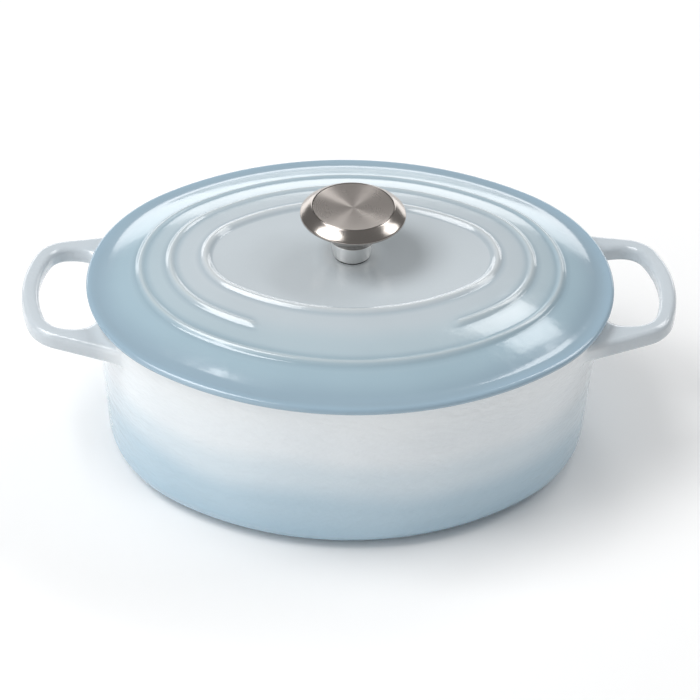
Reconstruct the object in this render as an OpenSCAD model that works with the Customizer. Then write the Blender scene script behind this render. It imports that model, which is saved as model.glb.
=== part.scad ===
// Oval cast-iron dutch oven: an enamelled pot with two loop handles, a ringed lid and a stainless knob.
// Origin at the centre of the base, +X along the handles, +Z up. Millimetres.
// "Inset" always means the distance inwards from the lid's outline, measured square to it.

/* [Lid] */
// Length of the lid over its edge
lid_len = 292; // [244:2:352]
// Width of the lid over its edge
lid_wid = 232; // [193:1:240]
// Thickness of the lid's iron
lid_t = 4.2; // [3.6:0.1:5]
// Thickness of the lid's rounded edge
edge_t = 4.2; // [3.6:0.1:5]
// Width of the flat flange behind the edge
flange_w = 8; // [6:0.5:9]
// Height of the flange's inner side over the pot's rim
flange_z = 3.8; // [3.4:0.1:4.2]
// Height of the dome's crown over the pot's rim
dome_z = 18.9; // [16:0.1:24]
// Inset at which the dome would level out
dome_inset = 85; // [80:1:95]
// Roundness of the dome, where 1 is a straight cone
dome_power = 2.1; // [1.8:0.1:2.4]
// Height of the flat centre of the lid over the pot's rim
plateau_z = 17.2; // [15.5:0.1:17.6]

/* [Lid rings] */
// Inset of the outer ring's crest
ring_outer = 29.8; // [26:0.1:34]
// Inset of the middle ring's crest
ring_middle = 46.3; // [42:0.1:50]
// Inset of the inner ring's crest
ring_inner = 65.5; // [60:0.1:68]
// Width of a ring
ring_w = 6; // [4:0.5:7]
// Height of a ring over the dome
ring_h = 1.3; // [0.6:0.1:1.6]
// Width of the fall from the inner ring's crest to the flat centre
ring_fall = 4.5; // [3:0.5:6]
// Length of the plain stretch in the front of the middle ring
ring_gap = 112; // [60:1:120]

/* [Pot] */
// Height of the pot's rim over the base
pot_h = 103.5; // [70:0.5:140]
// How far the lid's edge stands out beyond the pot's rim
overhang = 5; // [3:0.5:7]
// Thickness of the wall
wall_t = 4; // [3.5:0.1:6]
// How far the wall draws in from the rim to the corner
draft = 3.4; // [1:0.1:6]
// Outer radius of the corner between wall and base
corner_r = 14; // [10:1:22]
// Thickness of the floor
floor_t = 4.5; // [4:0.5:7]
// Width of the ring that the pot stands on
foot_w = 10; // [6:1:16]
// Depth of the recess inside that ring
foot_recess = 0.6; // [0.3:0.1:1]
// Chamfer along the rim's edges
rim_chamfer = 0.7; // [0.3:0.1:1]

/* [Lid lip] */
// Clearance all round between the lid's lip and the pot's mouth
lip_gap = 1; // [0.6:0.1:2]
// Width of the lip
lip_w = 3.5; // [2.5:0.1:4.5]
// Depth of the lip below the pot's rim
lip_h = 3.5; // [2:0.5:6]

/* [Handles] */
// How far each loop reaches beyond the lid's edge
handle_reach = 35.6; // [28:0.1:45]
// Width of the loop's bar, seen from above
bar_w = 9.4; // [8:0.1:11]
// Height of the loop's bar
bar_h = 10.5; // [8:0.1:13]
// Radius of the bar's long edges
bar_r = 3.2; // [2:0.1:3.8]
// Centre-line radius across the end of the loop
tip_r = 82; // [70:1:100]
// Centre-line radius of the loop's two corners
bend_r = 17.5; // [12:0.5:20]
// Angle by which the loop rises outwards
loop_rise = 5; // [0:0.5:8]
// Depth of the loop's end below the pot's rim, to the middle of the bar
loop_drop = 6.6; // [5:0.1:12]

/* [Knob] */
// Widest radius of the knob's head
head_r = 28.8; // [24:0.1:32]
// Height of that widest edge over the stem's foot
head_edge_z = 25.4; // [23:0.1:28]
// Height of the knob over the stem's foot
knob_h = 31.4; // [30:0.1:36]
// Radius of the dished disc in the top
disc_r = 22; // [18:0.1:24]
// Thickness of the dished disc
disc_t = 1.6; // [1.4:0.1:2]
// Depth of the dish
dish_h = 1; // [0.4:0.1:1.2]
// Thickness of the head's sheet
sheet_t = 1.2; // [0.8:0.1:1.6]
// Radius of the stem at its foot
foot_r = 10.2; // [9:0.1:11]
// Radius of the stem under the head
neck_r = 12.5; // [11.5:0.1:14]
// Height of the stem's shoulder, where the head sits
neck_h = 11; // [9:0.5:13]
// Radius of the spigot that the head is pressed on
spigot_r = 9; // [8:0.1:10]
// Height of the spigot over the shoulder
spigot_h = 6; // [4:0.5:8]
// Radius of the threaded insert
insert_r = 6; // [5:0.1:7]
// Depth of the thread in the insert
thread_h = 13; // [9:0.5:15]
// Radius of the seat raised on the lid round the stem
mound_r = 22; // [18:0.5:24]
// Height of that seat
mound_h = 1; // [0.5:0.1:2]

/* [Knob fixing] */
// Nominal radius of the screw's thread
screw_r = 3; // [2.5:0.5:4]
// Radial clearance of the thread
thread_gap = 0.05; // [0.02:0.01:0.1]
// Radial clearance of the plain holes
hole_gap = 0.3; // [0.2:0.1:0.6]
// Radius of the screw's head
screw_head_r = 6; // [5.5:0.1:7]
// Height of the screw's head
screw_head_h = 3.6; // [2.5:0.1:4.5]
// How far the screw's end stays short of the thread's end
screw_short = 1.5; // [0.5:0.1:3]
// Radius of the flat washer
washer_r = 9; // [8:0.5:12]
// Thickness of the flat washer
washer_t = 1.2; // [0.8:0.1:2]
// Radius of the lock washer
lock_r = 5.6; // [5:0.1:6.5]
// Thickness of the lock washer
lock_t = 1; // [0.6:0.1:1.6]
// Radius of the gasket under the knob
gasket_r = 9.6; // [8.5:0.1:11]
// Thickness of the gasket
gasket_t = 0.8; // [0.5:0.1:1.5]

/* [Hidden] */
$fn = 120;
cut = 1;                // how far a cutting shape runs past the face it opens
curve_step = 1.25;      // spacing of the points along a curved section
round_steps = 12;       // number of steps round a small arc of a section

// The outline is four arcs: a tight one round each end and a flat one along each side.
// The line through an end arc's centre and a side arc's centre is the long side of a 3-4-5 triangle,
// so the two arcs meet on it square and exactly.
half_len = lid_len / 2;
half_wid = lid_wid / 2;
join_dir = [0.6, 0.8];
centre_gap = (half_len - half_wid) / (join_dir.x + join_dir.y - 1);
end_x = centre_gap * join_dir.x;        // centres of the end arcs, at +x and -x
side_y = centre_gap * join_dir.y;       // centres of the side arcs, at +y and -y
end_r = half_len - end_x;
side_r = half_wid + side_y;
core_inset = ring_inner + ring_fall;    // where the rings end and the flat centre begins
far = 500;                              // reach of a cutting wedge, past everything

// Exact unit directions in the handle's plane: the ends of the arc across it, and its legs
tip_dir = [0.936, 0.352];
leg_dir = [0.96, 0.28];

mouth_inset = overhang + wall_t;
lip_inset = mouth_inset + lip_gap;
foot_inset = overhang + draft + corner_r;
inner_r = 0.85 * corner_r;              // radius of the inner corner

hole_r = screw_r + hole_gap;
seat_z = pot_h + plateau_z + mound_h;   // top of the knob's seat on the lid
under_z = pot_h + plateau_z - lid_t;    // underside of the lid's flat centre
knob_z = seat_z + gasket_t;             // foot of the stem

// ---------- sections ----------

// Points of an arc, from angle a to angle b about a centre
function arc(centre, r, a, b, steps) =
    [for (i = [0 : steps]) centre + r * [cos(a + (b - a) * i / steps), sin(a + (b - a) * i / steps)]];

// Numbers from a to b, no further apart than curve_step
function along(a, b) = let (n = ceil((b - a) / curve_step)) [for (i = [0 : n]) a + (b - a) * i / n];

// Height over the rim of the plain dome, a raised ring, and the lid's whole upper face
function dome(inset) =
    flange_z + (dome_z - flange_z) * (1 - pow(1 - (inset - flange_w) / (dome_inset - flange_w), dome_power));
function ring(inset, crest) =
    abs(inset - crest) < ring_w / 2 ? ring_h * (1 + cos(360 * (inset - crest) / ring_w)) / 2 : 0;
function rings(inset, with_middle) =
    ring(inset, ring_outer) + ring(inset, ring_inner) + (with_middle ? ring(inset, ring_middle) : 0);
function fall(inset) =
    plateau_z + (dome(ring_inner) + ring_h - plateau_z) * (1 + cos(180 * (inset - ring_inner) / ring_fall)) / 2;
function lid_top(inset, with_middle) =
    inset <= ring_inner ? dome(inset) + rings(inset, with_middle) : fall(inset);
function lid_under(inset) = min(dome(inset), plateau_z) - lid_t;

// Half-section of the lid: x is minus the inset, y is the height over the pot's rim
module lid_section(with_middle) {
    lip_end = lip_inset + lip_w;
    polygon(concat(
        [[-lip_inset, 0], [-lip_inset, -lip_h], [-lip_end, -lip_h]],
        [for (d = along(lip_end, core_inset)) [-d, lid_under(d)]],
        [for (d = along(-core_inset, -flange_w)) [d, lid_top(-d, with_middle)]],
        arc([-edge_t / 2, edge_t / 2], edge_t / 2, 90, -90, round_steps)
    ));
}

// Half-section of the pot: down the outside, across under the floor, and back up the inside
module pot_section() {
    out_x = -(overhang + draft);
    in_x = out_x - wall_t;
    polygon(concat(
        [[-mouth_inset + rim_chamfer, pot_h], [-overhang - rim_chamfer, pot_h], [-overhang, pot_h - rim_chamfer]],
        arc([out_x - corner_r, corner_r], corner_r, 0, -90, round_steps),
        [[-foot_inset - foot_w, 0], [-foot_inset - foot_w, foot_recess]],
        [[-core_inset, foot_recess], [-core_inset, floor_t]],
        arc([in_x - inner_r, floor_t + inner_r], inner_r, -90, 0, round_steps),
        [[-mouth_inset, pot_h - rim_chamfer]]
    ));
}

// Section of a handle's bar
module bar_section() {
    square([bar_w, bar_h - 2 * bar_r], center = true);
    square([bar_w - 2 * bar_r, bar_h], center = true);
    for (x = [-1, 1], y = [-1, 1])
        translate([x * (bar_w / 2 - bar_r), y * (bar_h / 2 - bar_r)]) circle(bar_r);
}

// ---------- the oval ----------

// A wedge between two directions from the origin, less than half a turn apart
module wedge(from, to) {
    linear_extrude(2 * far, center = true) polygon([[0, 0], from * far, to * far]);
}

// Sweeps a section round the origin at radius r, from one direction to another
module sweep(r, from, to) {
    intersection() {
        rotate_extrude() translate([r, 0]) children();
        wedge(from, to);
    }
}

// The direction mirrored about the Y axis
function mirrored(dir) = [-dir.x, dir.y];

// Sweeps a half-section along the side arc at +y, between two directions from that arc's centre
module side_sweep(from, to) {
    translate([0, -side_y]) sweep(side_r, from, to) children();
}

// Sweeps a half-section round both ends
module end_sweeps() {
    for (turn = [0, 180])
        rotate([0, 0, turn]) translate([end_x, 0]) sweep(end_r, [join_dir.x, -join_dir.y], join_dir) children();
}

// Sweeps a half-section all the way round
module oval_sweep() {
    end_sweeps() children();
    for (turn = [0, 180])
        rotate([0, 0, turn]) side_sweep(join_dir, mirrored(join_dir)) children();
}

// The flat oval at a given inset
module oval(inset) {
    join_x = end_x + (end_r - inset) * join_dir.x;
    for (x = [-end_x, end_x]) translate([x, 0]) circle(end_r - inset);
    intersection() {
        translate([0, -side_y]) circle(side_r - inset);
        translate([0, side_y]) circle(side_r - inset);
        square([2 * join_x, lid_wid], center = true);
    }
}

// A flat oval slab
module oval_slab(inset, z0, z1) {
    translate([0, 0, z0]) linear_extrude(z1 - z0) oval(inset);
}

// ---------- pot ----------

// One loop handle, on the +X side: an arc across the end, two corners and two legs.
// The legs stop inside the wall.
module loop() {
    bend_at = (tip_r - bend_r) * tip_dir - [tip_r, 0];
    leg_normal = [leg_dir.y, leg_dir.x];
    leg_l = handle_reach + end_r / 2;       // long enough to reach past the wall
    difference() {
        translate([half_len + handle_reach - bar_w / 2, 0, pot_h - loop_drop]) rotate([0, -loop_rise, 0]) {
            translate([-tip_r, 0]) sweep(tip_r, [tip_dir.x, -tip_dir.y], tip_dir) bar_section();
            for (side = [0, 1]) mirror([0, side, 0]) translate(bend_at) {
                sweep(bend_r, tip_dir, leg_normal) bar_section();
                rotate([0, 0, atan2(leg_normal.y, leg_normal.x)]) translate([bend_r, 0]) rotate([-90, 0, 0])
                    linear_extrude(leg_l) bar_section();
            }
        }
        oval_slab(overhang + draft + wall_t / 2, -cut, pot_h + cut);
    }
}

module pot() {
    color("#dde6ea") {
        oval_sweep() pot_section();
        oval_slab(core_inset, foot_recess, floor_t);
        for (turn = [0, 180]) rotate([0, 0, turn]) loop();
    }
}

// ---------- lid ----------

// The seat for the knob: level under the stem, then falling smoothly to the lid
module mound() {
    level_r = foot_r + 1;
    rotate_extrude() polygon(concat(
        [[0, -lid_t / 2], [0, mound_h]],
        [for (r = along(level_r, mound_r)) [r, mound_h * (1 + cos(180 * (r - level_r) / (mound_r - level_r))) / 2]],
        [[mound_r, -lid_t / 2]]
    ));
}

module lid() {
    middle_r = side_r - ring_middle;
    gap_dir = [ring_gap / 2 / middle_r, sqrt(1 - pow(ring_gap / 2 / middle_r, 2))];
    color("#a9c3d1") difference() {
        translate([0, 0, pot_h]) {
            end_sweeps() lid_section(true);
            side_sweep(join_dir, mirrored(join_dir)) lid_section(true);
            rotate([0, 0, 180]) {
                side_sweep(join_dir, gap_dir) lid_section(true);
                side_sweep(gap_dir, mirrored(gap_dir)) lid_section(false);
                side_sweep(mirrored(gap_dir), mirrored(join_dir)) lid_section(true);
            }
            oval_slab(core_inset, plateau_z - lid_t, plateau_z);
            translate([0, 0, plateau_z]) mound();
        }
        translate([0, 0, under_z - cut]) cylinder(r = hole_r, h = seat_z - under_z + 2 * cut);
    }
}

// ---------- knob ----------

// Height of the underside of the head at radius r, over the stem's foot
function head_under(r) =
    neck_h + (head_edge_z - neck_h) * (1 - pow((head_r - r) / (head_r - neck_r), 2));

module knob_gasket() {
    color("#3a3a3a") translate([0, 0, seat_z]) difference() {
        cylinder(r = gasket_r, h = gasket_t);
        translate([0, 0, -cut]) cylinder(r = hole_r, h = gasket_t + 2 * cut);
    }
}

// Turned stem: flares from the foot to a shoulder, with a spigot for the head
module knob_stem() {
    color("#c9c6c2") translate([0, 0, knob_z]) rotate_extrude() polygon(concat(
        [[insert_r, 0]],
        [for (z = along(0, neck_h)) [foot_r + (neck_r - foot_r) * pow(z / neck_h, 2), z]],
        [[spigot_r, neck_h], [spigot_r, neck_h + spigot_h], [insert_r, neck_h + spigot_h]]
    ));
}

module knob_threaded_insert() {
    insert_h = neck_h + spigot_h;
    color("#b8a66a") translate([0, 0, knob_z]) difference() {
        cylinder(r = insert_r, h = insert_h);
        translate([0, 0, -cut]) cylinder(r = screw_r, h = thread_h + cut);
    }
}

// Spun head: trumpet underside, rounded edge, bevelled top with a ledge for the disc
module knob_shell() {
    edge_r = sheet_t;                                   // radius of the rounded edge
    ledge_z = knob_h - disc_t;
    rim_r = disc_r + sheet_t / 2;
    under_r = head_r - edge_r;
    color("#bdb8b2") translate([0, 0, knob_z]) rotate_extrude() polygon(concat(
        [[spigot_r, neck_h]],
        [for (r = along(neck_r, under_r)) [r, head_under(r)]],
        arc([under_r, head_under(under_r) + edge_r], edge_r, -60, 45, round_steps),
        [[rim_r, knob_h], [disc_r, knob_h], [disc_r, ledge_z], [disc_r - sheet_t, ledge_z]],
        [[disc_r - sheet_t, ledge_z - sheet_t], [disc_r, ledge_z - sheet_t]],
        [for (r = along(-(under_r - sheet_t), -neck_r)) [-r, head_under(-r) + sheet_t]],
        [[spigot_r, neck_h + sheet_t]]
    ));
}

module knob_top_disc() {
    color("#a8a29b") translate([0, 0, knob_z + knob_h - disc_t]) rotate_extrude() polygon(concat(
        [[0, 0]],
        [[disc_r, 0]],
        [for (r = along(-disc_r, 0)) [-r, disc_t - dish_h * (1 - pow(r / disc_r, 2))]]
    ));
}

module screw_washer() {
    color("#c4c4c4") translate([0, 0, under_z - washer_t]) difference() {
        cylinder(r = washer_r, h = washer_t);
        translate([0, 0, -cut]) cylinder(r = hole_r, h = washer_t + 2 * cut);
    }
}

// Split lock washer
module lock_washer() {
    color("#9a9a9a") translate([0, 0, under_z - washer_t - lock_t]) difference() {
        cylinder(r = lock_r, h = lock_t);
        translate([0, 0, -cut]) cylinder(r = hole_r, h = lock_t + 2 * cut);
        translate([0, -lock_t / 2, -cut]) cube([lock_r + cut, lock_t, lock_t + 2 * cut]);
    }
}

// Pan-head screw with a cross slot, driven up from inside the lid
module knob_screw() {
    head_top = under_z - washer_t - lock_t;
    screw_end = knob_z + thread_h - screw_short;
    slot_w = screw_head_r / 5;
    slot_depth = screw_head_h / 2;
    dome_r = (pow(screw_head_r, 2) + pow(screw_head_h, 2)) / (2 * screw_head_h);
    color("#c9c9c9") {
        translate([0, 0, head_top]) cylinder(r = screw_r - thread_gap, h = screw_end - head_top);
        difference() {
            intersection() {
                translate([0, 0, head_top - screw_head_h]) cylinder(r = screw_head_r, h = screw_head_h);
                translate([0, 0, head_top - screw_head_h + dome_r]) sphere(dome_r);
            }
            for (turn = [0, 90])
                rotate([0, 0, turn]) translate([-screw_head_r / 2, -slot_w / 2, head_top - screw_head_h - cut])
                    cube([screw_head_r, slot_w, slot_depth + cut]);
        }
    }
}

pot();
lid();
knob_gasket();
knob_stem();
knob_threaded_insert();
knob_shell();
knob_top_disc();
screw_washer();
lock_washer();
knob_screw();
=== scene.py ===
import math

import bmesh
import bpy
from mathutils import Matrix, Vector


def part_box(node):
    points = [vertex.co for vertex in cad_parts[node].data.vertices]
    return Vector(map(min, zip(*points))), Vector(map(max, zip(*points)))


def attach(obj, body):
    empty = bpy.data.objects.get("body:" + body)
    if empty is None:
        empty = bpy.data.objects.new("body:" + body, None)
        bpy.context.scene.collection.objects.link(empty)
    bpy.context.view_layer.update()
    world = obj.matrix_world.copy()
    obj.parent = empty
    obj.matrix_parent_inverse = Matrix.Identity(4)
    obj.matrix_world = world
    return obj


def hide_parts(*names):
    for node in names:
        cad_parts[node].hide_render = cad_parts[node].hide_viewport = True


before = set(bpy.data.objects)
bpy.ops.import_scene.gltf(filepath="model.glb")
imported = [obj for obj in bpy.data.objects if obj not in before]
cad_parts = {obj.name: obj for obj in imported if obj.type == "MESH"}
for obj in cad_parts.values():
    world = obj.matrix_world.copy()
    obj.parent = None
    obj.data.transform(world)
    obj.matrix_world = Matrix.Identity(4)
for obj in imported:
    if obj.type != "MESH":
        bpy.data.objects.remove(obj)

scene = bpy.context.scene
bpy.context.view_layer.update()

# ---------------------------------------------------------------- camera
# A long lens a little above the oven and nearly square to its front, as for a catalogue picture.
# It is rolled by about two degrees, so the rim doesn't lie dead level.
camera_turn = math.radians(-3.6)
camera_rise = math.radians(38.75)
camera_roll = math.radians(1.92)
camera_distance = 1.2
look_right = 0.0008
look_below = 0.0457
camera_target = Vector((look_right, 0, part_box("lid")[0].z - look_below))

backward = Vector((math.sin(camera_turn) * math.cos(camera_rise),
                   -math.cos(camera_turn) * math.cos(camera_rise),
                   math.sin(camera_rise)))
level_right = (-backward).cross(Vector((0, 0, 1))).normalized()
level_up = level_right.cross(-backward)
camera_right = math.cos(camera_roll) * level_right + math.sin(camera_roll) * level_up
camera_up = -math.sin(camera_roll) * level_right + math.cos(camera_roll) * level_up

camera = bpy.data.objects.new("catalogue_camera", bpy.data.cameras.new("catalogue_camera"))
camera.data.sensor_width = 36
camera.data.lens = 108.4
camera.data.clip_start = 0.05
camera.data.clip_end = 50
placing = Matrix((camera_right, camera_up, backward)).transposed().to_4x4()
placing.translation = camera_target + backward * camera_distance
camera.matrix_world = placing
scene.collection.objects.link(camera)
scene.camera = camera

# ---------------------------------------------------------------- pot
# One casting of grey iron: an oval tub with a loop handle at each end, poured in sand.
# It is enamelled pale outside and sand-coloured inside, and its rim is left dark and matt.
mm = 0.001

# The lid's outline is the pattern that everything oval is offset from: two end arcs and two side arcs,
# which meet where their common radius lies along the long side of a 3-4-5 triangle.
lid_low, lid_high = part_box("lid")
half_length, half_width = lid_high.x, lid_high.y
arc_join = Vector((0.6, 0.8))
centre_gap = (half_length - half_width) / (arc_join.x + arc_join.y - 1)
end_centre = centre_gap * arc_join.x
side_centre = centre_gap * arc_join.y
end_radius = half_length - end_centre
side_radius = half_width + side_centre

lip_depth = 3.5 * mm
rim_height = lid_low.z + lip_depth
overhang = 5 * mm
wall = 4 * mm
draft = 3.4 * mm
corner_radius = 14 * mm
inner_corner_radius = 0.85 * corner_radius
floor_thickness = 4.5 * mm
foot_width = 10 * mm
foot_recess = 0.6 * mm
foot_edge = 0.4 * mm
rim_edge = 0.8 * mm
sweep_weld = 2e-6
mesh_weld = 1e-6


def round_the_oval_tree():
    """Sweeps a section round the four-arc oval. Each point of the section carries its inset from the outline,
    its height, and how far it has gone over from the oval (share 0) to a circle of its own radius (share 1)."""
    tree = bpy.data.node_groups.new("round_the_oval", "GeometryNodeTree")
    sockets = tree.interface
    sockets.new_socket("Section", in_out="INPUT", socket_type="NodeSocketGeometry")
    for name in ("End Centre", "End Radius", "Side Centre", "Side Radius", "Gap Half Length", "Gap Taper"):
        sockets.new_socket(name, in_out="INPUT", socket_type="NodeSocketFloat")
    sockets.new_socket("Steps", in_out="INPUT", socket_type="NodeSocketInt")
    sockets.new_socket("Finish", in_out="INPUT", socket_type="NodeSocketMaterial")
    sockets.new_socket("Piece", in_out="OUTPUT", socket_type="NodeSocketGeometry")
    nodes, links = tree.nodes, tree.links

    def wire(value, socket):
        if isinstance(value, bpy.types.NodeSocket):
            links.new(value, socket)
        else:
            socket.default_value = value

    def step(kind, settings=None, **inputs):
        made = nodes.new(kind)
        for name, value in (settings or {}).items():
            setattr(made, name, value)
        for name, value in inputs.items():
            wanted = name.replace("_", " ")
            wire(value, next(s for s in made.inputs if s.name == wanted and s.enabled))
        return made

    def maths(operation, *values):
        made = nodes.new("ShaderNodeMath")
        made.operation = operation
        for value, socket in zip(values, made.inputs):
            wire(value, socket)
        return made.outputs[0]

    def vector(operation, a, b=None, scale=None):
        made = nodes.new("ShaderNodeVectorMath")
        made.operation = operation
        wire(a, made.inputs[0])
        if b is not None:
            wire(b, made.inputs[1])
        if scale is not None:
            wire(scale, made.inputs["Scale"])
        return made.outputs[0]

    def carried(name, kind="FLOAT"):
        return step("GeometryNodeInputNamedAttribute", {"data_type": kind}, Name=name).outputs["Attribute"]

    given = nodes.new("NodeGroupInput").outputs
    section = step("GeometryNodeMeshToCurve", Mesh=given["Section"]).outputs["Curve"]
    ring = step("GeometryNodeCurvePrimitiveCircle", {"mode": "RADIUS"}, Resolution=given["Steps"], Radius=1.0)
    marked = step("GeometryNodeStoreNamedAttribute", {"data_type": "FLOAT_VECTOR", "domain": "POINT"},
                  Geometry=ring.outputs["Curve"], Name="outward",
                  Value=nodes.new("GeometryNodeInputPosition").outputs["Position"])
    swept = step("GeometryNodeCurveToMesh", Curve=marked.outputs["Geometry"], Profile_Curve=section)

    outward = carried("outward", "FLOAT_VECTOR")
    parts = step("ShaderNodeSeparateXYZ", Vector=outward).outputs
    on_end = maths("GREATER_THAN", maths("ABSOLUTE", parts["X"]), arc_join.x)
    on_side = maths("SUBTRACT", 1.0, on_end)
    centre = step("ShaderNodeCombineXYZ",
                  X=maths("MULTIPLY", on_end, maths("MULTIPLY", maths("SIGN", parts["X"]),
                                                    given["End Centre"])),
                  Y=maths("MULTIPLY", on_side, maths("MULTIPLY", maths("SIGN", parts["Y"]),
                                                     maths("MULTIPLY", given["Side Centre"], -1.0)))).outputs[0]
    radius = maths("ADD", maths("MULTIPLY", on_end, given["End Radius"]),
                   maths("MULTIPLY", on_side, given["Side Radius"]))
    on_oval = vector("ADD", centre, vector("SCALE", outward, scale=maths("SUBTRACT", radius, carried("inset"))))
    on_circle = vector("SCALE", outward, scale=carried("circle_radius"))
    share = carried("share")
    flat = vector("ADD", vector("SCALE", on_oval, scale=maths("SUBTRACT", 1.0, share)),
                  vector("SCALE", on_circle, scale=share))

    # The part of the height that fades out across the front, and ends in a taper
    beside = step("ShaderNodeMapRange", {"interpolation_type": "SMOOTHSTEP"},
                  Value=maths("ABSOLUTE", step("ShaderNodeSeparateXYZ", Vector=flat).outputs["X"]),
                  From_Min=maths("SUBTRACT", given["Gap Half Length"], given["Gap Taper"]),
                  From_Max=given["Gap Half Length"]).outputs["Result"]
    kept = maths("MAXIMUM", beside, maths("GREATER_THAN", parts["Y"], 0.0))
    height = maths("ADD", carried("height"), maths("MULTIPLY", carried("broken_height"), kept))
    place = vector("ADD", flat, step("ShaderNodeCombineXYZ", Z=height).outputs[0])

    placed = step("GeometryNodeSetPosition", Geometry=swept.outputs[0], Position=place)
    crest = maths("ADD", carried("crest"), maths("MULTIPLY", carried("broken_crest"), kept))
    crested = step("GeometryNodeStoreNamedAttribute", {"data_type": "FLOAT", "domain": "POINT"},
                   Geometry=placed.outputs[0], Name="crest", Value=crest)
    closed = step("GeometryNodeMergeByDistance", Geometry=crested.outputs[0], Distance=sweep_weld)
    real = step("GeometryNodeRealizeInstances", Geometry=closed.outputs[0])
    smooth = step("GeometryNodeSetShadeSmooth", Geometry=real.outputs[0])
    finished = step("GeometryNodeSetMaterial", Geometry=smooth.outputs[0], Material=given["Finish"])
    links.new(finished.outputs[0], nodes.new("NodeGroupOutput").inputs["Piece"])
    return tree


oval_tree = round_the_oval_tree()


carried_names = ("inset", "height", "share", "circle_radius", "broken_height", "crest", "broken_crest",
                 "inside", "bare")


def swept_piece(name, section, finish, closed=False, steps=288,
                gap_half_length=0.0, gap_taper=0.001, crease=38):
    """A piece made by sweeping a section, a list of points. Each point is a dictionary of what it carries.
    Edges sharper than the crease angle, in degrees, are shaded as edges."""
    count = len(section)
    mesh = bpy.data.meshes.new(name)
    edges = [(i, i + 1) for i in range(count - 1)] + ([(count - 1, 0)] if closed else [])
    mesh.from_pydata([(p.get("inset", 0), p["height"], 0) for p in section], edges, [])
    for key in carried_names:
        layer = mesh.attributes.new(key, "FLOAT", "POINT")
        layer.data.foreach_set("value", [p.get(key, 0.0) for p in section])
    piece = bpy.data.objects.new(name, mesh)
    scene.collection.objects.link(piece)
    sweep = piece.modifiers.new("sweep", "NODES")
    sweep.node_group = oval_tree
    values = {"End Centre": end_centre, "End Radius": end_radius, "Side Centre": side_centre,
              "Side Radius": side_radius, "Gap Half Length": gap_half_length, "Gap Taper": gap_taper,
              "Steps": steps, "Finish": finish}
    for socket in oval_tree.interface.items_tree:
        if socket.in_out == "INPUT" and socket.name in values:
            sweep[socket.identifier] = values[socket.name]
    graph = bpy.context.evaluated_depsgraph_get()
    plain = bpy.data.meshes.new_from_object(piece.evaluated_get(graph), preserve_all_data_layers=True,
                                            depsgraph=graph)
    piece.modifiers.clear()
    piece.data = plain
    point_outwards(plain)
    plain.set_sharp_from_angle(angle=math.radians(crease))
    return piece


def point_outwards(mesh):
    """Welds a closed mesh and turns its faces outwards."""
    shape = bmesh.new()
    shape.from_mesh(mesh)
    bmesh.ops.remove_doubles(shape, verts=shape.verts, dist=mesh_weld)
    bmesh.ops.recalc_face_normals(shape, faces=shape.faces)
    for face in shape.faces:
        face.smooth = True
    shape.to_mesh(mesh)
    shape.free()


def between(a, b, count):
    """count + 1 even numbers from a to b."""
    return [a + (b - a) * i / count for i in range(count + 1)]


def corner(inset, height, radius, start, end, count=8, **carries):
    """Points of a rounded corner about a centre. Angles are in degrees; 0 points towards the outline, 90 up."""
    return [dict(inset=inset - radius * math.cos(math.radians(a)),
                 height=height + radius * math.sin(math.radians(a)), **carries)
            for a in between(start, end, count)]


def pot_section():
    foot = overhang + draft + corner_radius
    inner = overhang + draft + wall
    mouth = overhang + wall
    inner_foot = inner + inner_corner_radius
    floor = floor_thickness
    low = dict(inset=foot + foot_width)
    points = [dict(low, share=s, circle_radius=0.0, height=foot_recess) for s in between(1, 0.04, 6)]
    points += [dict(inset=foot + foot_width + foot_edge, height=foot_recess)]
    points += corner(foot + foot_width - foot_edge, foot_edge, foot_edge, 180, 270, 3)
    points += corner(foot, corner_radius, corner_radius, -90, 0, 18)[1:]
    points += [dict(inset=overhang + draft * (1 - t),
                    height=corner_radius + t * (rim_height - rim_edge - corner_radius))
               for t in between(0.1, 0.95, 8)]
    points += corner(overhang + rim_edge, rim_height - rim_edge, rim_edge, 0, 90, 6)
    points += [dict(inset=overhang + rim_edge + 0.1 * mm, height=rim_height, bare=1)]
    points += corner(mouth - rim_edge, rim_height - rim_edge, rim_edge, 90, 180, 6, bare=1)
    points += [dict(inset=mouth + 0.02 * mm, height=rim_height - rim_edge - 0.3 * mm, inside=1)]
    top, bottom = rim_height - rim_edge, floor + inner_corner_radius
    points += [dict(inset=mouth + (inner - mouth) * t, height=top + (bottom - top) * t, inside=1)
               for t in between(0.05, 0.95, 8)]
    points += corner(inner_foot, bottom, inner_corner_radius, 360, 270, 16, inside=1)
    points += [dict(inset=inner_foot, share=s, circle_radius=0.0, height=floor, inside=1)
               for s in between(0.04, 1, 7)]
    return points


def srgb(red, green, blue):
    """A colour as read on a 0 to 255 screen scale, made linear."""
    def linear(value):
        value /= 255
        return value / 12.92 if value <= 0.04045 else ((value + 0.055) / 1.055) ** 2.4
    return (linear(red), linear(green), linear(blue), 1)


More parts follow.
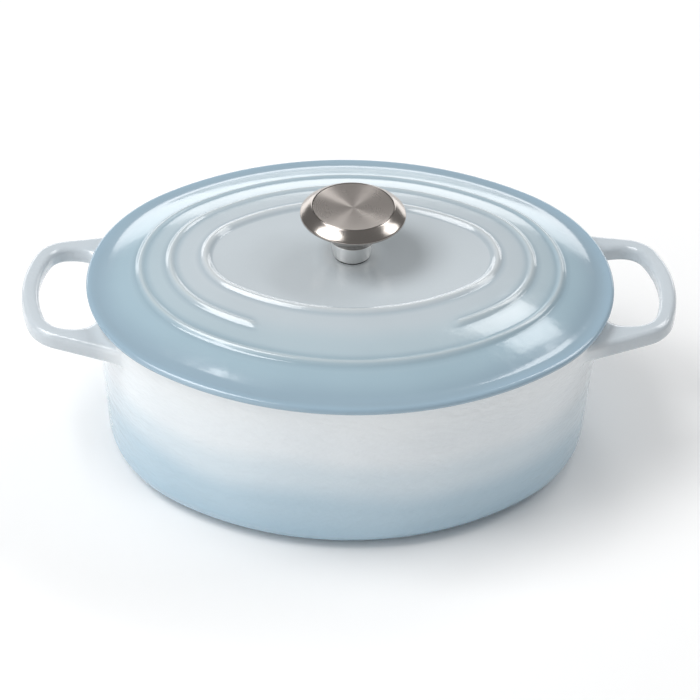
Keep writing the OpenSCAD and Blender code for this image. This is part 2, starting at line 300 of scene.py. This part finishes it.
class Finish:
    """A material and the few ways its nodes are joined."""

    def __init__(self, name):
        self.material = bpy.data.materials.new(name)
        self.material.use_nodes = True
        self.nodes, self.links = self.material.node_tree.nodes, self.material.node_tree.links
        self.shader = self.nodes["Principled BSDF"]
        self.place = self.nodes.new("ShaderNodeTexCoord").outputs["Object"]

    def wire(self, value, socket):
        if isinstance(value, bpy.types.NodeSocket):
            self.links.new(value, socket)
        else:
            socket.default_value = value

    def maths(self, operation, *values):
        made = self.nodes.new("ShaderNodeMath")
        made.operation = operation
        for value, socket in zip(values, made.inputs):
            self.wire(value, socket)
        return made.outputs[0]

    def attribute(self, name):
        made = self.nodes.new("ShaderNodeAttribute")
        made.attribute_name = name
        return made.outputs["Fac"]

    def mottle(self, scale, detail=3.0, roughness=0.5, place=None, stretch=None):
        """Noise in the piece's own space, from 0 to 1. stretch squeezes it along some axes."""
        at = place or self.place
        if stretch:
            mapping = self.nodes.new("ShaderNodeMapping")
            self.links.new(at, mapping.inputs["Vector"])
            mapping.inputs["Scale"].default_value = stretch
            at = mapping.outputs[0]
        made = self.nodes.new("ShaderNodeTexNoise")
        self.links.new(at, made.inputs["Vector"])
        made.inputs["Scale"].default_value = scale
        made.inputs["Detail"].default_value = detail
        made.inputs["Roughness"].default_value = roughness
        return made.outputs["Fac"]

    def ramp(self, value, stops):
        made = self.nodes.new("ShaderNodeValToRGB")
        self.links.new(value, made.inputs[0])
        made.color_ramp.interpolation = "EASE"
        elements = made.color_ramp.elements
        while len(elements) < len(stops):
            elements.new(0.5)
        for element, (position, colour) in zip(elements, stops):
            element.position = position
            element.color = colour
        return made.outputs["Color"]

    def mix(self, share, a, b, blend="MIX"):
        made = self.nodes.new("ShaderNodeMix")
        made.data_type = "RGBA"
        made.blend_type = blend
        self.wire(share, made.inputs["Factor"])
        self.wire(a, made.inputs[6])
        self.wire(b, made.inputs[7])
        return made.outputs[2]

    def rise(self, value, low, high, to_low=0.0, to_high=1.0):
        made = self.nodes.new("ShaderNodeMapRange")
        self.wire(value, made.inputs["Value"])
        for name, number in (("From Min", low), ("From Max", high), ("To Min", to_low), ("To Max", to_high)):
            made.inputs[name].default_value = number
        return made.outputs["Result"]

    def bump(self, height, distance, strength=1.0, after=None):
        made = self.nodes.new("ShaderNodeBump")
        self.wire(height, made.inputs["Height"])
        made.inputs["Distance"].default_value = distance
        made.inputs["Strength"].default_value = strength
        if after:
            self.links.new(after, made.inputs["Normal"])
        return made.outputs["Normal"]

    def split(self, vector):
        made = self.nodes.new("ShaderNodeSeparateXYZ")
        self.links.new(vector, made.inputs[0])
        return made.outputs


sand_enamel = srgb(214, 201, 178)
bare_rim = srgb(52, 52, 54)


def enamel(name, outside_colour, cast_scale, cast_depth, drawn_out):
    """Glossy vitreous enamel over sand-cast iron. outside_colour(finish) gives the colour of the outer coat,
    and drawn_out squeezes the casting's texture along each axis."""
    coat = Finish(name)
    flow = coat.mottle(18, detail=2)
    outer = outside_colour(coat)
    runs = coat.ramp(flow, [(0.3, srgb(150, 165, 175)), (0.7, srgb(255, 255, 255))])
    outside = coat.mix(0.05, outer, runs, "MULTIPLY")
    specks = coat.mottle(420, detail=2)
    inside = coat.mix(coat.rise(specks, 0.62, 0.72, 0, 0.25), sand_enamel, srgb(186, 168, 140))
    inside_share, bare_share = coat.attribute("inside"), coat.attribute("bare")
    colour = coat.mix(bare_share, coat.mix(inside_share, outside, inside), bare_rim)
    coat.wire(colour, coat.shader.inputs["Base Color"])
    gloss = coat.rise(coat.mottle(60), 0.3, 0.7, 0.13, 0.20)
    dull = coat.maths("ADD", coat.maths("MULTIPLY", bare_share, 0.45),
                      coat.maths("MULTIPLY", inside_share, 0.06))
    coat.wire(coat.maths("ADD", gloss, dull), coat.shader.inputs["Roughness"])
    coat.shader.inputs["IOR"].default_value = 1.52
    coat.shader.inputs["Coat Weight"].default_value = 0.35
    coat.shader.inputs["Coat Roughness"].default_value = 0.06
    cast = coat.bump(coat.mottle(cast_scale, detail=2, roughness=0.55, stretch=drawn_out), cast_depth)
    fine = coat.bump(coat.mottle(cast_scale * 4, detail=1), cast_depth * 0.06, after=cast)
    coat.wire(fine, coat.shader.inputs["Normal"])
    return coat.material


# Painted shade: a grey laid on the loops' coat to stand in for the shade they are in
loop_painted_shade_colour = srgb(194, 202, 208)


def pot_colour(coat):
    """Deeper blue at the foot, clearing to nearly white above. Painted shade greys the loops out from the wall.
    """
    height = coat.maths("DIVIDE", coat.split(coat.place)["Z"], rim_height)
    wander = coat.rise(coat.mottle(9, detail=1), 0.3, 0.7, -0.05, 0.05)
    wall_colour = coat.ramp(coat.maths("ADD", height, wander), [
        (0.00, srgb(162, 190, 207)), (0.28, srgb(179, 202, 216)), (0.50, srgb(209, 222, 230)),
        (0.70, srgb(229, 235, 239)), (1.00, srgb(236, 240, 242))])
    return coat.mix(coat.attribute("loop_painted_shade"), wall_colour, loop_painted_shade_colour)


pot_enamel = enamel("pot_enamel", pot_colour, cast_scale=130, cast_depth=0.00055, drawn_out=(0.9, 0.9, 2.0))
pot = swept_piece("pot_casting", pot_section(), pot_enamel)
# The pot's own wall carries none of the loops' painted shade
pot.data.attributes.new("loop_painted_shade", "FLOAT", "POINT")

# The loops: an arc across the end, two corners, and two legs that spread until they run into the wall.
# On the inner side the legs swell towards the wall, which leaves a rounded hole for the fingers.
loop_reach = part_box("pot")[1].x
bar_width = 9.4 * mm
bar_height = 10.5 * mm
bar_round = 3.2 * mm
tip_radius = 82 * mm
bend_radius = 17.5 * mm
tip_angle = math.atan2(0.352, 0.936)  # where the arc across the end gives way to a corner
leg_angle = math.atan2(0.96, 0.28)  # where a corner gives way to its leg
loop_rise = math.radians(5)
loop_drop = 6.6 * mm
root_fillet = 3 * mm
root_swell = 14 * mm
swell_power = 1.6
root_apron = 1.2 * mm
apron_depth = 0.2 * mm
root_depth = 1.5 * mm
# Distance out from the wall over which the loops' painted shade comes in
loop_shade_fade = 12 * mm
wall_search = (-0.02, 0.12)
halvings = 40


def outside_by(point, inset):
    """How far a point stands outside the oval at an inset, seen from above."""
    x, y = abs(point.x), abs(point.y)
    from_end = Vector((x - end_centre, y))
    if from_end.x > 0 and from_end.y * arc_join.x <= from_end.x * arc_join.y:
        return from_end.length - (end_radius - inset)
    return Vector((x, y + side_centre)).length - (side_radius - inset)


def wall_inset(height):
    return overhang + draft * (rim_height - rim_edge - height) / (rim_height - rim_edge - corner_radius)


def reach_wall(point, heading):
    """The distance from a point to the pot's outer wall along a heading."""
    near, far = wall_search
    for _ in range(halvings):
        middle = (near + far) / 2
        there = point + heading * middle
        if outside_by(there, wall_inset(there.z)) > 0:
            near = middle
        else:
            far = middle
    return near


def bar_outline():
    """The bar's rounded section as (across, up, outward direction, share of the swell) from its centre line."""
    points = []
    for side_x, side_y, start in ((1, 1, 0), (-1, 1, 90), (-1, -1, 180), (1, -1, 270)):
        for a in between(start, start + 90, 7):
            out = Vector((math.cos(math.radians(a)), math.sin(math.radians(a))))
            points.append((side_x * (bar_width / 2 - bar_round) + bar_round * out.x,
                           side_y * (bar_height / 2 - bar_round) + bar_round * out.y, out,
                           0.7 + 0.3 * abs(out.x) if side_x < 0 else 0.0))
    return points


def loop_mesh(name, end):
    """One loop at the end (+1 or -1) as a closed tube, which runs into the wall at its roots."""
    out_x = Vector((math.cos(loop_rise), 0, math.sin(loop_rise)))
    up_z = Vector((-math.sin(loop_rise), 0, math.cos(loop_rise)))
    across_y = Vector((0, 1, 0))
    origin = Vector((loop_reach - bar_width / 2, 0, rim_height - loop_drop))
    outline = bar_outline()

    def station(x, y, angle):
        """Centre, and the direction across the bar, at a point of the path in the loop's own plane."""
        return origin + out_x * x + across_y * y, out_x * math.cos(angle) + across_y * math.sin(angle)

    half = [station(tip_radius * (math.cos(a) - 1), tip_radius * math.sin(a), a)
            for a in between(0, tip_angle, 14)]
    bend_x = (tip_radius - bend_radius) * math.cos(tip_angle) - tip_radius
    bend_y = (tip_radius - bend_radius) * math.sin(tip_angle)
    half += [station(bend_x + bend_radius * math.cos(a), bend_y + bend_radius * math.sin(a), a)
             for a in between(tip_angle, leg_angle, 16)[1:]]
    rings = [[centre + across * u + up_z * v for u, v, _, _ in outline] for centre, across in half]

    # From the last corner each leg runs on, swelling as it goes, and a small fillet takes it into the wall
    centre, across = half[-1]
    heading = (out_x * -math.sin(leg_angle) + across_y * math.cos(leg_angle)).normalized()

    def root_ring(gone, grown, short):
        """A ring part of the way (gone, 0 to 1) to the wall, fattened by grown and stopping short of it."""
        ring = []
        for u, v, out, swell in outline:
            widened = u - root_swell * swell * gone ** swell_power + out.x * grown
            start = centre + across * widened + up_z * (v + out.y * grown)
            ring.append(start + heading * (reach_wall(start, heading) - root_fillet) * gone
                        + heading * (root_fillet - short))
        return ring

    rings += [root_ring(t, 0, root_fillet) for t in between(0, 1, 14)[1:]]
    rings += [root_ring(1, root_fillet * (1 - math.cos(a)), root_fillet * (1 - math.sin(a)))
              for a in between(0, math.pi / 2, 9)[1:]]
    rings.append(root_ring(1, root_fillet + root_apron, -apron_depth))
    rings.append(root_ring(1, root_fillet + root_apron, -root_depth))

    mirrored = [[Vector((p.x, -p.y, p.z)) for p in ring] for ring in rings]
    chain = [list(ring) for ring in reversed(mirrored)][:-1] + rings
    around = len(outline)
    points = [Vector((p.x * end, p.y * end, p.z)) for ring in chain for p in ring]
    faces = [(r * around + i, r * around + (i + 1) % around,
              (r + 1) * around + (i + 1) % around, (r + 1) * around + i)
             for r in range(len(chain) - 1) for i in range(around)]
    faces += [tuple(range(around)), tuple((len(chain) - 1) * around + i for i in range(around))]
    mesh = bpy.data.meshes.new(name)
    mesh.from_pydata(points, [], faces)
    mesh.materials.append(pot_enamel)
    point_outwards(mesh)
    # Painted shade: the loops' coat turns greyer from the wall outwards
    loop_shade_layer = mesh.attributes.new("loop_painted_shade", "FLOAT", "POINT")
    loop_shade_layer.data.foreach_set("value", [min(1, max(0, outside_by(v.co, wall_inset(v.co.z)) / loop_shade_fade))
                                    for v in mesh.vertices])
    return mesh


loops = []
for side, end in (("right", 1), ("left", -1)):
    loop = bpy.data.objects.new(f"{side}_loop", loop_mesh(f"{side}_loop", end))
    scene.collection.objects.link(loop)
    loops.append(loop)
with bpy.context.temp_override(active_object=pot, object=pot, selected_objects=[pot, *loops],
                               selected_editable_objects=[pot, *loops]):
    bpy.ops.object.join()
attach(pot, "pot")
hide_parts("pot")

# ---------------------------------------------------------------- lid
# A second iron casting, about four millimetres thick: a flange that lies on the pot's rim, a shallow dome
# with three raised rings, a flat centre, and a lip below that finds the pot's mouth. Its enamel is darker
# towards the edge.
lid_thickness = 4.2 * mm
edge_thickness = 4.2 * mm
flange_width = 8 * mm
flange_height = 3.8 * mm
dome_height = 18.9 * mm
dome_inset = 85 * mm
dome_power = 2.1
plateau_height = 17.2 * mm
ring_crests = (29.8 * mm, 65.5 * mm)
broken_ring = 46.3 * mm
ring_width = 6 * mm
ring_height = 1.3 * mm
pool_share = 0.45
ring_fall = 4.5 * mm
ring_gap = 112 * mm
core_inset = ring_crests[1] + ring_fall
lip_inset = overhang + wall + 1 * mm
lip_width = 3.5 * mm
screw_hole = 3.3 * mm
mound_radius = 22 * mm
mound_height = 1 * mm
mound_level = 11.2 * mm
# A painted reflection of the knob: a pale ring on the lid round its foot
painted_reflection_edge = 3 * mm
painted_reflection_fade = 5 * mm
painted_reflection_strength = 0.7


def dome(inset):
    rise = 1 - (1 - (inset - flange_width) / (dome_inset - flange_width)) ** dome_power
    return flange_height + (dome_height - flange_height) * rise


def ring_rise(inset, crest):
    offset = (inset - crest) / ring_width
    return ring_height * (1 + math.cos(2 * math.pi * offset)) / 2 if abs(offset) < 0.5 else 0.0


def ring_crest(inset, crest):
    """1 where the coat runs thin on a ring's crest, down to -1 where it pools at the ring's foot. The pool dies
    away over a share of the ring's width."""
    offset = abs(inset - crest) / ring_width
    if offset < 0.5:
        return math.cos(2 * math.pi * offset)
    return -max(0.0, 1 - (offset - 0.5) / pool_share)


def lid_face(inset):
    """Height of the upper face over the rim, without the middle ring."""
    if inset > ring_crests[1]:
        start = dome(ring_crests[1]) + ring_height
        fallen = math.pi * (inset - ring_crests[1]) / ring_fall
        return plateau_height + (start - plateau_height) * (1 + math.cos(fallen)) / 2
    if inset >= flange_width:
        return dome(inset) + sum(ring_rise(inset, crest) for crest in ring_crests)
    edge = edge_thickness / 2
    return edge_thickness + (flange_height - edge_thickness) * (inset - edge) / (flange_width - edge)


def eased_face(inset, reach=2.8 * mm, samples=13):
    """The upper face with the enamel's soft fillet where the flange meets the dome."""
    if abs(inset - flange_width) > 2 * reach:
        return lid_face(inset)
    return sum(lid_face(inset + reach * (2 * i / (samples - 1) - 1)) for i in range(samples)) / samples


def mound_rise(radius):
    """Height over the flat centre of the low mound that the knob stands on."""
    turn = math.pi * max(0, radius - mound_level) / (mound_radius - mound_level)
    return mound_height * (1 + math.cos(turn)) / 2


def lid_section():
    top, under = rim_height, lambda inset: rim_height + min(dome(inset), plateau_height) - lid_thickness
    edge = edge_thickness / 2
    lip_end = lip_inset + lip_width
    soft = 0.7 * mm
    # On the flat centre the crest layer carries the painted reflection of the knob, palest near its foot
    points = [dict(inset=core_inset, share=1, circle_radius=r, height=top + plateau_height + mound_rise(r),
                   crest=painted_reflection_strength * min(1, max(0, (mound_radius - painted_reflection_edge - r) / painted_reflection_fade)))
              for r in between(screw_hole, mound_radius, 22)]
    points += [dict(inset=core_inset, share=s, circle_radius=mound_radius, height=top + plateau_height)
               for s in between(0.95, 0.0, 8)]
    points += [dict(inset=d, height=top + eased_face(d), broken_height=ring_rise(d, broken_ring),
                    crest=sum(ring_crest(d, crest) for crest in ring_crests),
                    broken_crest=ring_crest(d, broken_ring))
               for d in between(core_inset - 0.4 * mm, edge + 0.6 * mm, 150)]
    points += corner(edge, top + edge, edge, 90, -90, 16)
    points += [dict(inset=overhang + 0.4 * mm, height=top), dict(inset=overhang + 0.8 * mm, height=top, bare=1),
               dict(inset=lip_inset - 0.4 * mm, height=top, bare=1),
               dict(inset=lip_inset, height=top - 0.4 * mm, bare=1)]
    points += corner(lip_inset + soft, top - lip_depth + soft, soft, 0, -90, 5, inside=1)
    points += corner(lip_end - soft, top - lip_depth + soft, soft, 270, 180, 5, inside=1)
    points += [dict(inset=d, height=under(d), inside=1) for d in between(lip_end + 0.3 * mm, core_inset, 40)]
    points += [dict(inset=core_inset, share=s, circle_radius=screw_hole, height=under(core_inset), inside=1)
               for s in between(0.1, 1.0, 9)]
    return points


def lid_colour(coat):
    """Paler towards the centre. The coat is thin and pale over the rings' crests, and pools at their feet.
    Round the knob's foot the same pale colour is a painted reflection of the knob.
    """
    inset = coat.maths("DIVIDE", coat.attribute("inset"), core_inset)
    wander = coat.rise(coat.mottle(12, detail=1), 0.3, 0.7, -0.03, 0.03)
    body = coat.ramp(coat.maths("ADD", inset, wander), [
        (0.00, srgb(150, 174, 190)), (0.10, srgb(146, 168, 182)), (0.30, srgb(157, 180, 192)),
        (0.55, srgb(172, 188, 196)), (0.80, srgb(184, 194, 200)), (1.00, srgb(192, 200, 205))])
    crest = coat.attribute("crest")
    # thin mixes in the pale colour of thin enamel on the rings' crests, and the painted reflection round the
    # knob's foot
    thin = coat.mix(coat.rise(crest, 0.2, 1.0, 0.0, 0.28), body, srgb(206, 206, 203))
    return coat.mix(coat.rise(crest, 0.0, -1.0, 0.0, 0.3), thin, srgb(118, 143, 158))


lid_enamel = enamel("lid_enamel", lid_colour, cast_scale=110, cast_depth=0.00012, drawn_out=(1, 1, 1))
lid = swept_piece("lid_casting", lid_section(), lid_enamel, closed=True, gap_half_length=ring_gap / 2,
                  gap_taper=5 * mm)
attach(lid, "lid")
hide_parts("lid")

# ---------------------------------------------------------------- knob gasket
# A thin punched washer of black silicone rubber, which keeps the steel stem off the enamel.
# The screw's pull squeezes it flat.


def dress(node, finish):
    """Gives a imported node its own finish, on the object's material slots."""
    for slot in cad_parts[node].material_slots:
        slot.link = "OBJECT"
        slot.material = finish


rubber = Finish("gasket_rubber")
rubber.wire(rubber.mix(rubber.mottle(300), srgb(28, 28, 29), srgb(44, 44, 45)),
            rubber.shader.inputs["Base Color"])
rubber.wire(rubber.rise(rubber.mottle(500), 0, 1, 0.6, 0.8), rubber.shader.inputs["Roughness"])
rubber.wire(rubber.bump(rubber.mottle(900), 0.00005), rubber.shader.inputs["Normal"])
dress("knob_gasket", rubber.material)

# ---------------------------------------------------------------- knob stem
# Turned from stainless bar: it flares from a narrow foot to a shoulder that the head sits on.
# It is left with the satin of the lathe, fine rings round its axis.
stem_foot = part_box("knob_stem")[0].z
stem_shoulder = 11 * mm
stem_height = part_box("knob_stem")[1].z - stem_foot
foot_radius = 10.2 * mm
neck_radius = 12.5 * mm
stem_flare = 1.2
stem_edge = 0.3 * mm
spigot_radius = 9 * mm
insert_radius = 6 * mm


def turned(radius, height, **carries):
    return dict(share=1, circle_radius=radius, height=stem_foot + height, **carries)


def steel(name, colour, roughness, anisotropy, ring_scale, ring_depth):
    """Stainless steel worked on a lathe: fine rings round the axis, and a sheen that fans out across them."""
    metal = Finish(name)
    parts = metal.split(metal.place)
    from_axis = metal.maths("SQRT", metal.maths("ADD", metal.maths("MULTIPLY", parts["X"], parts["X"]),
                                                metal.maths("MULTIPLY", parts["Y"], parts["Y"])))
    rings = metal.nodes.new("ShaderNodeCombineXYZ")
    metal.wire(from_axis, rings.inputs["X"])
    metal.wire(parts["Z"], rings.inputs["Y"])
    grooves = metal.mottle(ring_scale, detail=4, roughness=0.7, place=rings.outputs[0])
    cloud = metal.mottle(45, detail=3)
    shaded = tuple(0.82 * c for c in colour[:3]) + (1,)
    metal.wire(metal.mix(metal.maths("MULTIPLY", grooves, 0.2), colour, shaded),
               metal.shader.inputs["Base Color"])
    metal.shader.inputs["Metallic"].default_value = 1.0
    metal.shader.inputs["Anisotropic"].default_value = anisotropy
    metal.wire(metal.maths("ADD", metal.rise(grooves, 0.3, 0.7, roughness - 0.01, roughness + 0.01),
                           metal.rise(cloud, 0.3, 0.7, -0.02, 0.03)), metal.shader.inputs["Roughness"])
    metal.shader.inputs["Anisotropic Rotation"].default_value = 0.25
    around = metal.nodes.new("ShaderNodeVectorMath")
    around.operation = "CROSS_PRODUCT"
    around.inputs[0].default_value = (0, 0, 1)
    metal.wire(metal.place, around.inputs[1])
    straight = metal.nodes.new("ShaderNodeVectorMath")
    straight.operation = "NORMALIZE"
    metal.wire(around.outputs[0], straight.inputs[0])
    metal.wire(straight.outputs[0], metal.shader.inputs["Tangent"])
    metal.wire(metal.bump(grooves, ring_depth), metal.shader.inputs["Normal"])
    return metal.material


# Painted light: the stem is given a near-white steel colour, far lighter than the head's of the same stainless,
# to stand in for the bright light on it
stem_steel_painted_light = steel("stem_steel_painted_light", srgb(240, 240, 239), roughness=0.42, anisotropy=0.4,
                   ring_scale=2200, ring_depth=0.00001)
stem = swept_piece("knob_stem_turned", [turned(insert_radius, h) for h in between(stem_height, 0, 2)]
                   + [turned(foot_radius - stem_edge, 0)]
                   + [turned(foot_radius + (neck_radius - foot_radius) * t ** stem_flare, stem_shoulder * t)
                      for t in between(0.03, 0.97, 16)]
                   + [turned(neck_radius - stem_edge, stem_shoulder), turned(spigot_radius, stem_shoulder),
                      turned(spigot_radius, stem_height)],
                   stem_steel_painted_light, closed=True, steps=160)
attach(stem, "lid")
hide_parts("knob_stem")

# ---------------------------------------------------------------- threaded insert
# A plain brass bush turned from bar and pressed up the stem's middle, tapped for the screw.
# It is bright where it was cut, and a little dulled by handling.
brass = Finish("insert_brass")
brass.wire(brass.mix(brass.mottle(200), srgb(196, 170, 110), srgb(170, 146, 92)),
           brass.shader.inputs["Base Color"])
brass.shader.inputs["Metallic"].default_value = 1.0
brass.wire(brass.rise(brass.mottle(400), 0, 1, 0.25, 0.4), brass.shader.inputs["Roughness"])
brass.wire(brass.bump(brass.mottle(1200), 0.00003), brass.shader.inputs["Normal"])
dress("knob_threaded_insert", brass.material)

# ---------------------------------------------------------------- knob head
# Spun from stainless sheet over a former: a trumpet below, a rolled edge, and a bevel up to the top.
# A ledge inside the top carries the dished disc, which is let in flush and shows a hairline round it.
head_radius = 28.8 * mm
head_edge = 25.4 * mm
knob_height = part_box("knob_shell")[1].z - stem_foot
disc_radius = 22 * mm
disc_thickness = 1.6 * mm
dish_depth = 1.0 * mm
sheet = 1.2 * mm
bevel_edge = 0.12 * mm
bevel_crown = 0.25 * mm
lip_gap = 0.15 * mm
lip_edge = 0.08 * mm
disc_edge = 0.1 * mm


def head_under(radius):
    """Height of the head's outer face below its edge: a trumpet that levels out at the edge."""
    inwards = (head_radius - radius) / (head_radius - neck_radius)
    return stem_shoulder + (head_edge - stem_shoulder) * (1 - inwards ** 2)


def head_section():
    turn_in = head_radius - sheet
    edge_height = head_under(turn_in) + sheet
    ledge = knob_height - disc_thickness
    lip_radius = disc_radius + lip_gap
    points = [turned(spigot_radius, stem_shoulder)]
    points += [turned(r, head_under(r)) for r in between(neck_radius, turn_in, 24)]
    points += [turned(turn_in + sheet * math.cos(a), edge_height + sheet * math.sin(a))
               for a in between(math.radians(-60), math.radians(50), 10)]
    bevel_start = points[-1]
    bevel_low, bevel_low_height = bevel_start["circle_radius"], bevel_start["height"] - stem_foot
    bevel_top = disc_radius + sheet / 2
    bevel_rise = knob_height - bevel_edge - bevel_low_height
    points += [turned(bevel_low + (bevel_top - bevel_low) * t,
                      bevel_low_height + bevel_rise * t + bevel_crown * math.sin(math.pi * t))
               for t in between(0.08, 1, 10)]
    points += [turned(bevel_top - bevel_edge, knob_height), turned(lip_radius + lip_edge, knob_height),
               turned(lip_radius, knob_height - disc_edge)]
    points += [turned(lip_radius, ledge), turned(disc_radius - sheet, ledge),
               turned(disc_radius - sheet, ledge - sheet), turned(disc_radius, ledge - sheet)]
    points += [turned(r, head_under(r) + sheet) for r in between(turn_in - sheet, neck_radius, 20)]
    points += [turned(spigot_radius, stem_shoulder + sheet)]
    return points


# Painted shade: the head is given a dark steel colour, far darker than the stem's and disc's of the same
# stainless, to stand in for the dark reflections on its bevel
head_steel_painted_shade = steel("head_steel_painted_shade", srgb(160, 154, 149), roughness=0.19, anisotropy=0.45,
                   ring_scale=2600, ring_depth=0.00001)
head = swept_piece("knob_head_spun", head_section(), head_steel_painted_shade, closed=True, steps=192)
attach(head, "lid")
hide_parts("knob_shell")

# ---------------------------------------------------------------- knob disc
# A stainless disc pressed slightly hollow and faced on the lathe, so light fans across it from the middle.
# It is bonded into the ledge in the top of the head.
# Painted light: the disc is given a lighter steel colour than the head's of the same stainless, to stand in for
# its bright sheen
disc_steel = steel("disc_steel", srgb(214, 206, 200), roughness=0.28, anisotropy=0.85,
                   ring_scale=3400, ring_depth=0.000003)


def disc_section():
    base = knob_height - disc_thickness
    rim = disc_radius - disc_edge
    points = [turned(0, base), turned(rim, base), turned(rim, knob_height - disc_edge),
              turned(rim - disc_edge, knob_height)]
    points += [turned(disc_radius * t, knob_height - dish_depth * (1 - t ** 2)) for t in between(0.98, 0.0, 24)]
    return points


disc = swept_piece("knob_disc_dished", disc_section(), disc_steel, steps=192)
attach(disc, "lid")
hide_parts("knob_top_disc")

# ---------------------------------------------------------------- screw and washers
# A stainless pan-head screw comes up through the lid into the stem, over a split lock washer and a flat washer.
# They are bright, with light scuffing from tumbling.
bright = Finish("screw_steel")
bright.wire(bright.mix(bright.mottle(350), srgb(200, 200, 200), srgb(172, 172, 173)),
            bright.shader.inputs["Base Color"])
bright.shader.inputs["Metallic"].default_value = 1.0
bright.wire(bright.rise(bright.mottle(700), 0.2, 0.8, 0.18, 0.34), bright.shader.inputs["Roughness"])
bright.wire(bright.bump(bright.mottle(1500), 0.00002), bright.shader.inputs["Normal"])
for node in ("screw_washer", "lock_washer", "knob_screw"):
    dress(node, bright.material)

# ---------------------------------------------------------------- floor and light
# A seamless pale floor under a soft sky: two boxes on the left, two smaller ones on the right, and low cards
# behind and in front.
# None of it is part of the oven.
floor_mesh = bpy.data.meshes.new("studio_floor")
floor_mesh.from_pydata([(-6, -6, 0), (6, -6, 0), (6, 6, 0), (-6, 6, 0)], [], [(0, 1, 2, 3)])
floor = bpy.data.objects.new("studio_floor", floor_mesh)
scene.collection.objects.link(floor)
paper = Finish("studio_paper")
paper.shader.inputs["Base Color"].default_value = (0.92, 0.92, 0.92, 1)
paper.shader.inputs["Roughness"].default_value = 0.9
paper.shader.inputs["Specular IOR Level"].default_value = 0.0
floor_mesh.materials.append(paper.material)


def soft_box(name, place, aim, width, height, power):
    lamp = bpy.data.lights.new(name, "AREA")
    lamp.shape = "RECTANGLE"
    lamp.size, lamp.size_y, lamp.energy = width, height, power
    box = bpy.data.objects.new(name, lamp)
    box.location = place
    box.rotation_euler = (Vector(aim) - Vector(place)).to_track_quat("-Z", "Y").to_euler()
    scene.collection.objects.link(box)
    return box


soft_box("key_box", (-0.88, -0.14, 1.6), (0, 0, 0.05), 0.9, 0.9, 19)
soft_box("left_box", (-1.5, -0.75, 1.15), (0, 0, 0.05), 1.1, 1.2, 8)
soft_box("front_card", (-1.35, -1.75, 0.42), (0, 0, 0.05), 1.8, 0.7, 5.5)
soft_box("right_box", (1.25, 0.35, 1.25), (0, 0, 0.05), 0.6, 0.7, 6)
soft_box("right_back_box", (0.74, 0.8, 1.5), (0, 0, 0.1), 0.55, 0.4, 4)
soft_box("back_card", (0, 1.6, 0.32), (0, 0, 0.1), 3.2, 0.5, 11)

sky = bpy.data.worlds.new("studio_sky")
sky.use_nodes = True
sky.node_tree.nodes["Background"].inputs["Color"].default_value = (1.0, 1.0, 1.0, 1)
sky.node_tree.nodes["Background"].inputs["Strength"].default_value = 0.3
scene.world = sky
scene.view_settings.view_transform = "Standard"
